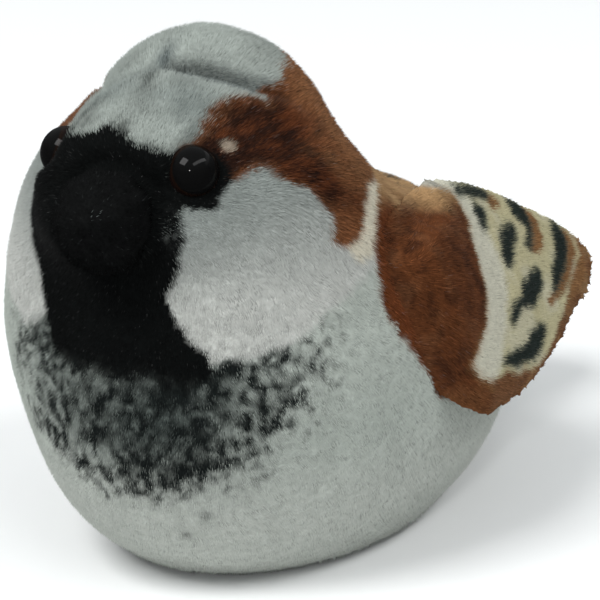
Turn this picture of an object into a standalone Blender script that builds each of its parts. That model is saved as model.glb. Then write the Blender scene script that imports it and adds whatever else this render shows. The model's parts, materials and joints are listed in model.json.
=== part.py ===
"""A soft toy house sparrow, sitting: a stuffed plush body, two wing flaps, a tail tab, a beak and two eyes.

Frame: metres, +Z up, the bird faces -Y, and +X is its left side. The origin is on the floor, at the
middle of the toy's length. Sizes below are in millimetres and become metres through MM.
"""

import math

import bmesh
import bpy
from mathutils import Matrix, Vector

MM = 0.001
GAP = 0.3  # clearance between neighbouring pieces
FORWARD = -18.94  # puts the origin at the middle of the toy's length

# The stuffed body is one smooth envelope of soft balls: (centre y, z), (radius x, y, z).
BODY_BALLS = {
    "crown": ((-11, 70), (21, 17, 22)),
    "brow": ((-23, 73), (15, 19, 12)),
    "face": ((-25, 64), (21, 20, 11)),
    "cheeks": ((-14, 56), (34, 26, 28)),
    "breast": ((-6, 41), (40, 36, 32)),
    "belly": ((10, 27), (37, 53, 35.5)),
    "rump": ((35, 33), (27, 23, 18)),
}
BODY_FIRMNESS = 14.0  # higher keeps the balls more distinct
BODY_HEART = (0, -4, 44)  # every point of the envelope is seen from here
BODY_DETAIL = 5  # icosphere subdivisions
SEARCH_REACH = 140  # further than any point of the envelope from its heart
SEARCH_STEPS = 30

NECK_POINT = (0, -14, 48)  # the cut between head and trunk passes here
NECK_TILT = 20  # degrees that the cut drops towards the throat

# The wing flap's outline in side view, (y, z), from the back over the tip and round to the shoulder.
WING_OUTLINE = (
    (31, 59), (51, 51), (67, 41.5), (72.5, 35), (63, 30.5), (36, 25.5),
    (13, 26), (1, 29.5), (-9, 40), (-16, 52), (-16, 60.5), (-8, 64.5), (10, 63.5),
)
WING_HEART = (22, 45)
WING_THICK = 4.0
WING_EDGE = 1.6
WING_PLANE = (30, -0.15, -0.45)  # x of the free flap at the point below, and its slopes in y and z
WING_PLANE_AT = (40, 37)
WING_BLEND = 2.5  # how softly the flap passes from lying on the body to standing free

# The tail tab's outline seen from above, (x, y), and its plane.
TAIL_OUTLINE = (
    (11, 48), (12.5, 62), (14, 78), (13.5, 88), (8, 92), (0, 90.5),
    (-8, 92), (-13.5, 88), (-14, 78), (-12.5, 62), (-11, 48), (0, 45),
)
TAIL_HEART = (0, 68)
TAIL_THICK = 8.0
TAIL_EDGE = 2.0
TAIL_HEIGHT = 31.0  # of its middle
TAIL_TILT = 5  # degrees above level

BEAK_PLACE = (3.0, 67.0)  # x and z where its axis leaves the face
BEAK_TURN = 20  # degrees towards the bird's left
BEAK_LIFT = 14  # degrees above level
BEAK_RADIUS = 8.6
BEAK_LENGTH = 11.0  # from the face to its point
BEAK_POINT = 2.2  # 1 is a dome, and more is nearer to a cone
BEAK_SINK = 8.0  # how deep its root goes before the face trims it

EYE_PLACE = (13.6, 73.8)  # x and z on the face
EYE_RADIUS = 4.3
EYE_STAND = 3.3  # how far the dome stands off the plush
EYE_AIM = (0.75, -0.56, 0.35)

PLUSH_GREY = (0.42, 0.45, 0.44)
PLUSH_CHESTNUT = (0.14, 0.05, 0.02)
PLUSH_BLACK = (0.012, 0.013, 0.013)
EYE_BLACK = (0.01, 0.008, 0.007)


def clear_scene():
    for obj in list(bpy.data.objects):
        bpy.data.objects.remove(obj)


def make_collection(name):
    found = bpy.data.collections.new(name)
    bpy.context.scene.collection.children.link(found)
    return found


def make_material(name, colour, roughness):
    material = bpy.data.materials.new(name)
    material.use_nodes = True
    shader = material.node_tree.nodes["Principled BSDF"]
    shader.inputs["Base Color"].default_value = (*colour, 1)
    shader.inputs["Roughness"].default_value = roughness
    shader.inputs["Metallic"].default_value = 0
    return material


def envelope(point):
    """Above 0 inside the stuffed body and below 0 outside it: a soft union of the balls."""
    total = 0.0
    for (cy, cz), (rx, ry, rz) in BODY_BALLS.values():
        away = math.hypot(point[0] / rx, (point[1] - cy) / ry, (point[2] - cz) / rz)
        total += math.exp(BODY_FIRMNESS * (1 - away))
    return total - 1


def body_surface(direction, start=BODY_HEART):
    """The point of the stuffed body's surface in this direction from a point inside it."""
    near, far = 0.0, SEARCH_REACH
    start, direction = Vector(start), Vector(direction).normalized()
    for _ in range(SEARCH_STEPS):
        middle = (near + far) / 2
        if envelope(start + direction * middle) > 0:
            near = middle
        else:
            far = middle
    return start + direction * near


def body_normal(point):
    """Which way the stuffed body faces at a point of its surface."""
    step = 0.2
    slope = []
    for axis in range(3):
        ahead, behind = list(point), list(point)
        ahead[axis] += step
        behind[axis] -= step
        slope.append(envelope(behind) - envelope(ahead))
    return Vector(slope).normalized()


def face_point(place):
    """The point of the face with this x and z."""
    return body_surface((0, -1, 0), (place[0], 0, place[1]))


def add_object(name, bm, collection, material):
    """Turns the bmesh, in millimetres, into an object in metres."""
    bmesh.ops.recalc_face_normals(bm, faces=bm.faces)
    bmesh.ops.translate(bm, vec=(0, FORWARD, 0), verts=bm.verts)
    bmesh.ops.scale(bm, vec=(MM, MM, MM), verts=bm.verts)
    mesh = bpy.data.meshes.new(name)
    bm.to_mesh(mesh)
    bm.free()
    mesh.materials.append(material)
    mesh.shade_smooth()
    mesh.set_sharp_from_angle(angle=math.radians(50))
    obj = bpy.data.objects.new(name, mesh)
    collection.objects.link(obj)
    return obj


def stuffed_body(grow=0.0):
    """The whole body as one closed form, flat where it sits."""
    bm = bmesh.new()
    bmesh.ops.create_icosphere(bm, subdivisions=BODY_DETAIL, radius=1)
    for vert in bm.verts:
        point = body_surface(vert.co)
        vert.co = point + body_normal(point) * grow
        vert.co.z = max(vert.co.z, 0.0)
    return bm


def body_part(name, above_neck, collection, material):
    """The stuffed body on one side of the neck's cut, closed there."""
    bm = stuffed_body()
    tilt = math.radians(NECK_TILT)
    up = Vector((0, -math.sin(tilt), math.cos(tilt)))
    side = 1 if above_neck else -1
    cut = bmesh.ops.bisect_plane(
        bm,
        geom=[*bm.verts, *bm.edges, *bm.faces],
        dist=0.05,
        plane_co=Vector(NECK_POINT) + up * side * GAP / 2,
        plane_no=up * side,
        clear_inner=True,
    )
    rim = [item for item in cut["geom_cut"] if isinstance(item, bmesh.types.BMEdge)]
    bmesh.ops.triangle_fill(bm, edges=rim, use_beauty=True)
    return add_object(name, bm, collection, material)


def trim_by_body(obj, cutter):
    """Shapes the end of a piece that meets the stuffed body."""
    modifier = obj.modifiers.new("seat_on_body", "BOOLEAN")
    modifier.operation = "DIFFERENCE"
    modifier.solver = "EXACT"
    modifier.object = cutter


def closed_spline(points, turns):
    """The point at this share (0 to 1) of the way round a smooth closed line through the points."""
    count = len(points)
    at = (turns % 1.0) * count
    index, t = int(at), at - int(at)
    a, b, c, d = (Vector(points[(index + k) % count]) for k in (-1, 0, 1, 2))
    return 0.5 * (2 * b + (c - a) * t + (2 * a - 5 * b + 4 * c - d) * t**2 + (3 * b - a - 3 * c + d) * t**3)


def pillow(outline, heart, thick, edge, seat, segments, rings):
    """A thin stuffed shape. seat(spot) gives the middle point and the facing at a spot of its outline's plane."""
    bm = bmesh.new()
    bmesh.ops.create_uvsphere(bm, u_segments=segments, v_segments=rings, radius=1)
    for vert in bm.verts:
        turns = math.atan2(vert.co.y, vert.co.x) / math.tau
        level = math.asin(max(-1.0, min(1.0, vert.co.z))) / (math.pi / 2)
        share = 1 - abs(level)
        half = edge / 2 + (thick - edge) / 2 * math.sqrt(max(0.0, 1 - share**2.6))
        if abs(level) < 1e-6:
            half = 0.0
        point, facing = seat(Vector(heart).lerp(closed_spline(outline, turns), share))
        vert.co = point + facing * math.copysign(half, level)
    return bm


def wing_sheet(y, z):
    """How far out from the middle plane the wing's inner side lies at this place in side view."""
    start = (0, y, z)
    on_body = body_surface((1, 0, 0), start).x if envelope(start) > 0 else 0.0
    x, slope_y, slope_z = WING_PLANE
    free = x + slope_y * (y - WING_PLANE_AT[0]) + slope_z * (z - WING_PLANE_AT[1])
    return WING_BLEND * math.log(math.exp(on_body / WING_BLEND) + math.exp(free / WING_BLEND))


def wing_seat(spot):
    """The middle of the left wing's thickness at a spot (y, z), and which way the wing faces there."""
    step = 0.5
    x = wing_sheet(*spot)
    slope_y = (wing_sheet(spot.x + step, spot.y) - x) / step
    slope_z = (wing_sheet(spot.x, spot.y + step) - x) / step
    facing = Vector((1, -slope_y, -slope_z)).normalized()
    return Vector((x, spot.x, spot.y)) + facing * (GAP + WING_THICK / 2), facing


def make_wing(name, side, collection, material):
    bm = pillow(WING_OUTLINE, WING_HEART, WING_THICK, WING_EDGE, wing_seat, segments=40, rings=12)
    bmesh.ops.scale(bm, vec=(side, 1, 1), verts=bm.verts)
    return add_object(name, bm, collection, material)


def tail_seat(spot):
    """The middle of the tail's thickness at a spot (x, y), and which way the tail faces there."""
    tilt = math.radians(TAIL_TILT)
    rise = (spot.y - TAIL_HEART[1]) * math.tan(tilt)
    return Vector((spot.x, spot.y, TAIL_HEIGHT + rise)), Vector((0, -math.sin(tilt), math.cos(tilt)))


def make_tail(collection, material, cutter):
    bm = pillow(TAIL_OUTLINE, TAIL_HEART, TAIL_THICK, TAIL_EDGE, tail_seat, segments=32, rings=12)
    trim_by_body(add_object("tail", bm, collection, material), cutter)


def make_beak(collection, material, cutter):
    """A rounded cone whose root is trimmed to the face."""
    turn, lift = math.radians(BEAK_TURN), math.radians(BEAK_LIFT)
    axis = Vector((math.sin(turn) * math.cos(lift), -math.cos(turn) * math.cos(lift), math.sin(lift)))
    bm = bmesh.new()
    bmesh.ops.create_uvsphere(bm, u_segments=28, v_segments=16, radius=1)
    for vert in bm.verts:
        ahead = vert.co.z > 0
        slimmer = math.hypot(vert.co.x, vert.co.y) ** (BEAK_POINT - 1) if ahead else 1.0
        radius = BEAK_RADIUS * slimmer
        vert.co = (vert.co.x * radius, vert.co.y * radius, vert.co.z * (BEAK_LENGTH if ahead else BEAK_SINK))
    bmesh.ops.transform(bm, matrix=axis.to_track_quat("Z", "Y").to_matrix().to_4x4(), verts=bm.verts)
    bmesh.ops.translate(bm, vec=face_point(BEAK_PLACE), verts=bm.verts)
    trim_by_body(add_object("beak", bm, collection, material), cutter)


def make_eye(name, side, collection, material, cutter):
    """A glossy dome whose back is trimmed to the face."""
    axis = Vector(EYE_AIM).normalized()
    bm = bmesh.new()
    bmesh.ops.create_uvsphere(bm, u_segments=24, v_segments=16, radius=EYE_RADIUS)
    bmesh.ops.transform(bm, matrix=axis.to_track_quat("Z", "Y").to_matrix().to_4x4(), verts=bm.verts)
    bmesh.ops.translate(bm, vec=face_point(EYE_PLACE) + axis * (EYE_STAND - EYE_RADIUS), verts=bm.verts)
    bmesh.ops.scale(bm, vec=(side, 1, 1), verts=bm.verts)
    trim_by_body(add_object(name, bm, collection, material), cutter)


def make_cutter(material):
    """The stuffed body grown by the clearance, for trimming what meets it."""
    helpers = make_collection("helpers")
    helpers.hide_render = True
    cutter = add_object("body_cutter", stuffed_body(GAP), helpers, material)
    cutter.hide_render = True
    cutter.display_type = "WIRE"
    return cutter


def main():
    clear_scene()
    toy = make_collection("house_sparrow_toy")
    grey = make_material("grey_plush", PLUSH_GREY, 0.95)
    chestnut = make_material("chestnut_plush", PLUSH_CHESTNUT, 0.95)
    black = make_material("black_plush", PLUSH_BLACK, 0.9)
    gloss = make_material("eye_plastic", EYE_BLACK, 0.08)
    cutter = make_cutter(grey)
    body_part("head", True, toy, grey)
    body_part("trunk", False, toy, grey)
    make_tail(toy, chestnut, cutter)
    make_wing("wing_left", 1, toy, chestnut)
    make_wing("wing_right", -1, toy, chestnut)
    make_beak(toy, black, cutter)
    make_eye("eye_left", 1, toy, gloss, cutter)
    make_eye("eye_right", -1, toy, gloss, cutter)


main()
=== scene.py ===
# %% [markdown]
# # A soft toy house sparrow
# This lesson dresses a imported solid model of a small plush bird. The solids already have the toy's true
# size, so every piece below is placed from them, in metres, with the bird facing -Y and its left side at
# +X. The order is the one a toy workshop keeps: set up the table and the lamps, sew the body, print the
# cloth, add wings, tail, beak and eyes, and brush up the pile at the very end.

import itertools
import json
import math

import bmesh
import bpy
import numpy as np
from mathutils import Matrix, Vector
from mathutils.bvhtree import BVHTree

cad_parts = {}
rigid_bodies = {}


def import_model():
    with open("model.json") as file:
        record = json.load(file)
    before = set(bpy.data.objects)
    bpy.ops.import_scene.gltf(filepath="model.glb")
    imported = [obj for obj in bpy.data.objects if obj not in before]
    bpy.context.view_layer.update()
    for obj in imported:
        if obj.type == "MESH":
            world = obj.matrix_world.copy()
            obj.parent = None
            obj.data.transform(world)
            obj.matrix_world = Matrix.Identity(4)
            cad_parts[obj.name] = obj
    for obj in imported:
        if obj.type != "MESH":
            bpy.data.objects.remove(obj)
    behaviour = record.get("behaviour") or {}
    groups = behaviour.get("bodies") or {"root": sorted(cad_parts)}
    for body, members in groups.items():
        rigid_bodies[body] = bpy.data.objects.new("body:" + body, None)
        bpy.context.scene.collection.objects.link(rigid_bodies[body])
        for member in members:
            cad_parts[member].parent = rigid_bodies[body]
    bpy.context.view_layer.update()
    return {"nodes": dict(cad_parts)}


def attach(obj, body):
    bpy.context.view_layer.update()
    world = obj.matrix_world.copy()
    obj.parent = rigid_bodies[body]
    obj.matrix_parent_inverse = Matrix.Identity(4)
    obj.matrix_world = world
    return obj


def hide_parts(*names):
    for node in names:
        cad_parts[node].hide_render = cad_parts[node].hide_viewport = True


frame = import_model()
MM = 0.001
print("solids:", sorted(frame["nodes"]))

# %% [markdown]
# ## The camera and the table
# A camera is easiest to place by what it looks at: a point on the toy, the compass direction it stands in,
# how high it stands, and how far away. The lens then follows from how much of the toy has to fit in.

# %% Camera
VIEW_AIM = Vector((7.0, -13.94, 41.7)) * MM
VIEW_TURN = 34  # degrees from the bird's facing towards its left
VIEW_RISE = 18  # degrees above level
VIEW_DISTANCE = 0.43
VIEW_HALF_WIDTH = 0.052  # what the frame shows each side of the aim, at the aim's distance


def direction(turn, rise):
    """The unit vector that is so many degrees to the bird's left of its facing and so many degrees up."""
    turn, rise = math.radians(turn), math.radians(rise)
    return Vector((math.sin(turn) * math.cos(rise), -math.cos(turn) * math.cos(rise), math.sin(rise)))


def aim(obj, turn, rise, distance):
    """Stands a lamp or a camera off in this direction, looking at the toy."""
    obj.location = VIEW_AIM + direction(turn, rise) * distance
    obj.rotation_euler = direction(turn, rise).to_track_quat("Z", "Y").to_euler()


def link(name, data):
    obj = bpy.data.objects.new(name, data)
    bpy.context.scene.collection.objects.link(obj)
    return obj


lens = bpy.data.cameras.new("camera")
lens.sensor_width = 36
lens.lens = 18 * VIEW_DISTANCE / VIEW_HALF_WIDTH
lens.clip_start = 0.01
camera = link("camera", lens)
aim(camera, VIEW_TURN, VIEW_RISE, VIEW_DISTANCE)
bpy.context.scene.camera = camera
print("lens:", round(lens.lens, 1), "mm")

# %% [markdown]
# Materials and room light are both networks of small nodes. A few helpers say in one line each what a node
# does and what it is joined to, so that the networks below stay easy to follow.

# %% Shader helpers
def set_inputs(node, values):
    """Gives a node's inputs these values."""
    for name, value in values.items():
        node.inputs[name].default_value = value


def put(tree, kind, operation=None, **values):
    """A new shader node. Its inputs take these values, with _ for a space in a name."""
    made = tree.nodes.new("ShaderNode" + kind)
    if operation:
        made.operation = operation
    set_inputs(made, {name.replace("_", " "): value for name, value in values.items()})
    return made


def join(tree, *pairs):
    """Links each output to its input."""
    for source, target in pairs:
        tree.links.new(source, target)


def fill_ramp(ramp, *stops):
    """Gives a colour ramp these stops, each a position and a colour, from 0 or more up to 1 or less."""
    (first, low), *between, (last, high) = stops
    ends = ramp.color_ramp.elements
    ends[0].position, ends[0].color = first, (*low, 1)
    ends[1].position, ends[1].color = last, (*high, 1)
    for position, colour in between:
        ends.new(position).color = (*colour, 1)


def new_material(name):
    """A material with its node tree and its shader."""
    material = bpy.data.materials.new(name)
    material.use_nodes = True
    return material, material.node_tree, material.node_tree.nodes["Principled BSDF"]


# %% [markdown]
# Soft toys look best in flat, even light, because hard light turns the pile into a mess of tiny shadows. A
# pale room light fills everything, a broad lamp and a long one stand high at the camera's sides, a weak one
# behind, and a small one beside the lens puts the spark in the eyes.

# %% Lamps, room light and table
bpy.context.scene.view_settings.view_transform = "Standard"
room = bpy.data.worlds.new("room")
room.use_nodes = True
around = put(room.node_tree, "TexCoord").outputs["Generated"]
split = put(room.node_tree, "SeparateXYZ")
fade = put(room.node_tree, "ValToRGB")
fill_ramp(fade, (0.15, (0.13, 0.135, 0.14)), (0.75, (0.80, 0.84, 0.86)))
backdrop = room.node_tree.nodes["Background"]
backdrop.inputs["Strength"].default_value = 0.6
join(room.node_tree, (around, split.inputs[0]), (split.outputs["Z"], fade.inputs["Fac"]),
     (fade.outputs["Color"], backdrop.inputs["Color"]))
bpy.context.scene.world = room


def lamp(name, turn, rise, distance, width, height, watts):
    """A soft lamp of this width and height, aimed at the toy."""
    data = bpy.data.lights.new(name, "AREA")
    data.shape = "RECTANGLE"
    data.size = width
    data.size_y = height
    data.energy = watts
    aim(link(name, data), turn, rise, distance)


lamp("broad_lamp", VIEW_TURN - 50, 52, 2.2, 1.0, 1.0, 42)
lamp("side_lamp", VIEW_TURN + 52, 52, 2.2, 2.4, 0.45, 24)
lamp("back_lamp", VIEW_TURN + 112, 38, 2.2, 2.6, 0.5, 3)
lamp("lens_lamp", VIEW_TURN - 8, VIEW_RISE + 4, 0.6, 0.03, 0.03, 0.5)


def as_mesh(name, shape):
    """Turns a shape under construction into a mesh."""
    mesh = bpy.data.meshes.new(name)
    shape.to_mesh(mesh)
    shape.free()
    return mesh


sheet = bmesh.new()
bmesh.ops.create_grid(sheet, x_segments=1, y_segments=1, size=3)
table = link("table", as_mesh("table", sheet))
table_paint, _, shader = new_material("table_paint")
set_inputs(shader, {"Base Color": (0.86, 0.87, 0.87, 1), "Roughness": 0.8})
table.data.materials.append(table_paint)
table.visible_glossy = False  # else it fills the lower half of each eye with white

# %% [markdown]
# ## Small helpers
# Printed cloth and brushed pile need the same few tools again and again: a soft step between two values,
# a smooth random field, a rounded outline, and the distance from a line. They work on whole arrays of
# points at once, in millimetres, because a coat has hundreds of thousands of tufts.

# %% Soft steps and smooth random fields
def ease(low, high, value):
    """0 below low, 1 above high, and an even curve between."""
    t = np.clip((value - low) / (high - low), 0, 1)
    return t * t * (3 - 2 * t)


def wobble(points, size, seed):
    """Smooth random values from -1 to 1 that change over about this many millimetres."""
    at = points / size + seed * 7.31
    cell = np.floor(at).astype(np.int64)
    t = at - cell
    t = t * t * (3 - 2 * t)
    total = np.zeros(len(points))
    for corner in itertools.product((0, 1), repeat=3):
        x, y, z = (cell + corner).T
        # large odd factors turn the corner's place into a number that looks random
        mixed = (x * 374761393 + y * 668265263 + z * 2147483647 + seed * 974634777) & 0xFFFFFFFF
        mixed = ((mixed ^ (mixed >> 13)) * 1274126177) & 0xFFFFFFFF
        value = ((mixed ^ (mixed >> 16)) & 0xFFFF) / 32767.5 - 1
        share = np.ones(len(points))
        for axis in range(3):
            share *= t[:, axis] if corner[axis] else 1 - t[:, axis]
        total += value * share
    return total


def wobbles(points, size, seed):
    """The same three times over, as a vector for each point."""
    return np.stack([wobble(points, size, seed + k) for k in range(3)], axis=1)


# %% [markdown]
# A patch of colour is given by the few corner points that its edge needs, and a smooth curve through them
# does the rest. A point then belongs to the patch by its distance from that curve, so one outline gives
# both a crisp edge and a soft one.

# %% Rounded outlines and lines
def lengths(rows, **how):
    """The length of each row."""
    return np.linalg.norm(rows, axis=1, **how)


def falloff(points, centre, radius):
    """1 at a place and falling off round it: about a third at this radius."""
    return np.exp(-((lengths(points - centre) / radius) ** 2))


def rounded(points, closed=True, steps=6):
    """A smooth line through the points, as more points."""
    points = np.array(points, float)
    count = len(points)
    line = []
    for index in range(count if closed else count - 1):
        around = [index - 1, index, index + 1, index + 2]
        a, b, c, d = (points[k % count if closed else min(max(k, 0), count - 1)] for k in around)
        for step in range(steps):
            t = step / steps
            line.append(0.5 * (2 * b + (c - a) * t + (2 * a - 5 * b + 4 * c - d) * t**2
                               + (3 * b - a - 3 * c + d) * t**3))
    if not closed:
        line.append(points[-1])
    return np.array(line)


def from_line(points, line):
    """How far each point is from a line, and how far along it (0 to 1) the nearest place is."""
    best = np.full(len(points), 1e9)
    along = np.zeros(len(points))
    for k in range(len(line) - 1):
        a, b = line[k], line[k + 1]
        t = np.clip(((points - a) @ (b - a)) / max(((b - a) ** 2).sum(), 1e-12), 0, 1)
        away = lengths(points - a - t[:, None] * (b - a))
        closer = away < best
        best[closer] = away[closer]
        along[closer] = (k + t[closer]) / (len(line) - 1)
    return best, along


def close_to(points, line, reach):
    """True for the points inside the line's bounding box, widened by this reach."""
    return ((points > line.min(axis=0) - reach) & (points < line.max(axis=0) + reach)).all(axis=1)


def inside(points, outline, soft=0.8):
    """1 well inside a closed outline, 0 well outside it, for points in its plane."""
    line = rounded(outline)
    ring = np.vstack([line, line[:1]])
    mask = np.zeros(len(points))
    rows = close_to(points, ring, soft)
    points = points[rows]
    away, _ = from_line(points, ring)
    crossings = np.zeros(len(points), int)
    for a, b in zip(ring[:-1], ring[1:]):
        spans = (a[1] > points[:, 1]) != (b[1] > points[:, 1])
        meet = a[0] + (points[:, 1] - a[1]) / (b[1] - a[1] + 1e-12) * (b[0] - a[0])
        crossings += spans & (points[:, 0] < meet)
    signed = np.where(crossings % 2 == 1, away, -away)
    mask[rows] = ease(-soft / 2, soft / 2, signed)
    return mask


def stroke(points, line, width, soft=0.8):
    """1 on a brush stroke along a line, thinner at its two ends."""
    line = rounded(line, closed=False)
    mask = np.zeros(len(points))
    rows = close_to(points, line, width + soft)
    away, along = from_line(points[rows], line)
    half = width / 2 * (0.35 + 0.65 * np.sqrt(np.clip(4 * along * (1 - along), 0, 1)))
    mask[rows] = 1 - ease(-soft / 2, soft / 2, away - half)
    return mask


def edge_at(line, values, read=0):
    """The y of a line at these heights, or with read=1 its height at these y."""
    line = rounded(line, closed=False)
    line = line[np.argsort(line[:, 1 - read])]
    return np.interp(values, line[:, 1 - read], line[:, read])


def plain(row, points):
    """The same row for every point."""
    return np.tile(row, (len(points), 1))


def lay(colour, over, mask):
    """Prints a colour over the cloth where the mask is 1."""
    return colour * (1 - mask[:, None]) + np.array(over) * mask[:, None]


# %% [markdown]
# ## Cloth from a solid
# The solids are coarse and parted by thin gaps. To sew one body from head and trunk, their copies are
# swollen until they meet, remeshed as one volume, and smoothed until the facets are gone. Smoothing also
# shrinks a round form, so what it took away is smoothed by itself and given back. Then the cloth is drawn
# in by the depth of the pile, so that the tips of the pile end where the solid's surface was.

# %% Make cloth
PILE_DEPTH = 0.6
WING_PILE_DEPTH = 0.5
BODY_SWELL = 0.25


def read(rows, name, width, kind=np.float32):
    """This property of all the rows of a mesh, as an array so many values wide."""
    held = np.empty(len(rows) * width, kind)
    rows.foreach_get(name, held)
    return held.reshape(-1, width)


def write(rows, name, values, kind=np.float32):
    """Sets this property of all the rows of a mesh."""
    rows.foreach_set(name, values.astype(kind).ravel())


def places(mesh):
    """The mesh's points and their facings, points in millimetres."""
    facings = read(mesh.vertex_normals, "vector", 3)
    return read(mesh.vertices, "co", 3).astype(float) / MM, facings.astype(float)


def put_back(mesh, points):
    write(mesh.vertices, "co", points * MM)
    mesh.update()


def smooth(mesh, points, rounds):
    """These points, one for each of the mesh's, after drawing each towards its neighbours so many times."""
    put_back(mesh, points)
    shape = bmesh.new()
    shape.from_mesh(mesh)
    for _ in range(rounds):
        bmesh.ops.smooth_vert(shape, verts=shape.verts, factor=0.5,
                              use_axis_x=True, use_axis_y=True, use_axis_z=True)
    shape.to_mesh(mesh)
    shape.free()
    return places(mesh)[0]


def sewn_mesh(name, nodes, voxel, rounds, swell=0.0, shift=(0, 0, 0)):
    """One closed mesh from copies of CAD nodes, swollen to close the gaps between them."""
    shape = bmesh.new()
    for node in nodes:
        before = len(shape.verts)
        shape.from_mesh(frame["nodes"][node].data)
        shape.verts.ensure_lookup_table()
        shape.normal_update()
        for vert in shape.verts[before:]:
            vert.co += (vert.normal * swell + Vector(shift)) * MM
    bmesh.ops.remove_doubles(shape, verts=shape.verts, dist=1e-6)
    rough = link(name + "_rough", as_mesh(name, shape))
    remesh = rough.modifiers.new("one_volume", "REMESH")
    remesh.mode = "VOXEL"
    remesh.voxel_size = voxel * MM
    graph = bpy.context.evaluated_depsgraph_get()
    mesh = bpy.data.meshes.new_from_object(rough.evaluated_get(graph))
    bpy.data.objects.remove(rough)
    mesh.name = name
    mesh.materials.clear()
    coarse = places(mesh)[0]
    even = smooth(mesh, coarse, rounds)
    even += smooth(mesh, coarse - even, rounds // 2)
    put_back(mesh, even)
    return mesh


body_mesh = sewn_mesh("body_cloth", ["head", "trunk"], 0.9, 24, swell=BODY_SWELL)
print("body cloth:", len(body_mesh.polygons), "faces")

# %% [markdown]
# Stuffed cloth is never a clean curve. This toy has a fold across its forehead where the crown was sewn, a
# puckered ring round the beak, and a little hollow round each eye, where the stem pulls the cloth in.

# %% Folds and hollows of the body
EYE_CENTRE = np.array((13.6, -52.6, 74.1))
BEAK_CENTRE = np.array((3.0, -62.6, 67.0))
FOREHEAD_FOLD = rounded([
    (-20, -33, 79.5), (-15.5, -40, 80.2), (-12.7, -43, 81.2), (-9, -44, 83), (-5, -42.5, 85.4),
    (-1, -40.6, 87.2), (4.5, -40.2, 86.8), (10, -38.4, 85.8), (14.2, -36, 84.5), (19, -31, 81.7),
], closed=False)
FOLD_FACING = np.array((0, -0.42, 0.91))
FOLD_DEPTH = 3.0
# Where else the cloth lies low, or stands out where the depth is below 0: the place, its radius and depth,
# and whether both sides have it.
HOLLOWS = (
    ((8.6, -56.2, 75.5), 3.6, -1.3, True), ((-12.6, -56.5, 71.8), 3.2, -1.5, False),
    ((-9.5, -56.5, 77), 2.2, 0.4, False), ((-15.4, -55, 69.8), 2.8, -1.0, False),
    ((24.5, -9, 62.5), 3, -0.5, True), ((-20, -41, 77.5), 6, 0.75, False),
    ((-23, -47, 61), 12, 0.45, False),
)


def from_fold(points):
    """How far a point is from the forehead fold, measured along the cloth, and how far along the fold."""
    flat = [rows - (rows @ FOLD_FACING)[:, None] * FOLD_FACING for rows in (points, FOREHEAD_FOLD)]
    away, along = from_line(*flat)
    return np.where((points[:, 2] > 74) & (points[:, 1] < -22), away, 99.0), along


def mirrored(points):
    """The points as if all lay on the bird's left side."""
    return np.column_stack([np.abs(points[:, 0]), points[:, 1], points[:, 2]])


def draw_in(points, facings, depth):
    """Moves the cloth inwards by the pile, and presses in its folds and hollows."""
    away, along = from_fold(points)
    strength = 0.3 + 0.7 * ease(0.15, 0.5, along) * ease(1.0, 0.8, along)
    ridge_away, _ = from_fold(points - (0, -3.4, -1.4))
    sink = depth + FOLD_DEPTH * strength * np.exp(-((away / 1.25) ** 2))
    sink = sink - 1.2 * strength * np.exp(-((ridge_away / 2.2) ** 2))
    sink += 1.2 * falloff(points, (-2.6, -39, 87.6), 3.0)
    both = mirrored(points)
    sink -= 0.5 * np.exp(-(((lengths(both - EYE_CENTRE) - 6.0) / 2.0) ** 2))
    for place, radius, low, twice in HOLLOWS:
        sink += low * falloff(both if twice else points, place, radius)
    sink -= 0.55 * ease(73, 83, points[:, 2])
    sink += 1.3 * np.exp(-(((lengths(points - BEAK_CENTRE) - 9.4) / 1.6) ** 2))
    sink += 0.35 * wobble(points, 16, 3) + 0.12 * wobble(points, 6, 4)
    sink = np.where(points[:, 2] < 2.0, BODY_SWELL + 0.3, sink)
    return points - facings * sink[:, None]


points, facings = places(body_mesh)
put_back(body_mesh, smooth(body_mesh, draw_in(points, facings, BODY_SWELL + PILE_DEPTH), 2))
body = link("body_cloth", body_mesh)

# %% [markdown]
# ## The print
# The bird's markings are printed on white plush before it is cut. A pattern maker draws each patch as an
# outline on one flat view of the bird: the mask and bib on the front view, the chestnut band on the side
# view. Both sides of the bird use the same side view. The same functions colour the cloth and the pile.

# %% Dyes
CROWN_GREY = (0.275, 0.305, 0.28)
# painted shade: the darker grey laid over the brow
BROW_SHADE_GREY = (0.18, 0.207, 0.195)
CHEEK_GREY = (0.225, 0.25, 0.235)
CHEEK_WHITE = (0.505, 0.515, 0.485)
BODY_GREY = (0.405, 0.44, 0.40)
BELLY_PALE = (0.47, 0.495, 0.455)
INK_BLACK = (0.0031, 0.0037, 0.0036)
INK_SOFT = (0.022, 0.028, 0.026)
BREAST_INK = (0.008, 0.0105, 0.01)
BREAST_SHADE = (0.07, 0.086, 0.08)
CHESTNUT = (0.119, 0.036, 0.0125)
CHESTNUT_DARK = (0.019, 0.008, 0.005)
TAN = (0.39, 0.245, 0.12)
BUFF = (0.36, 0.31, 0.24)
# painted shade: the dark grey laid along the crease of the forehead fold
FOLD_SHADE_GREY = (0.05, 0.062, 0.066)
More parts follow.
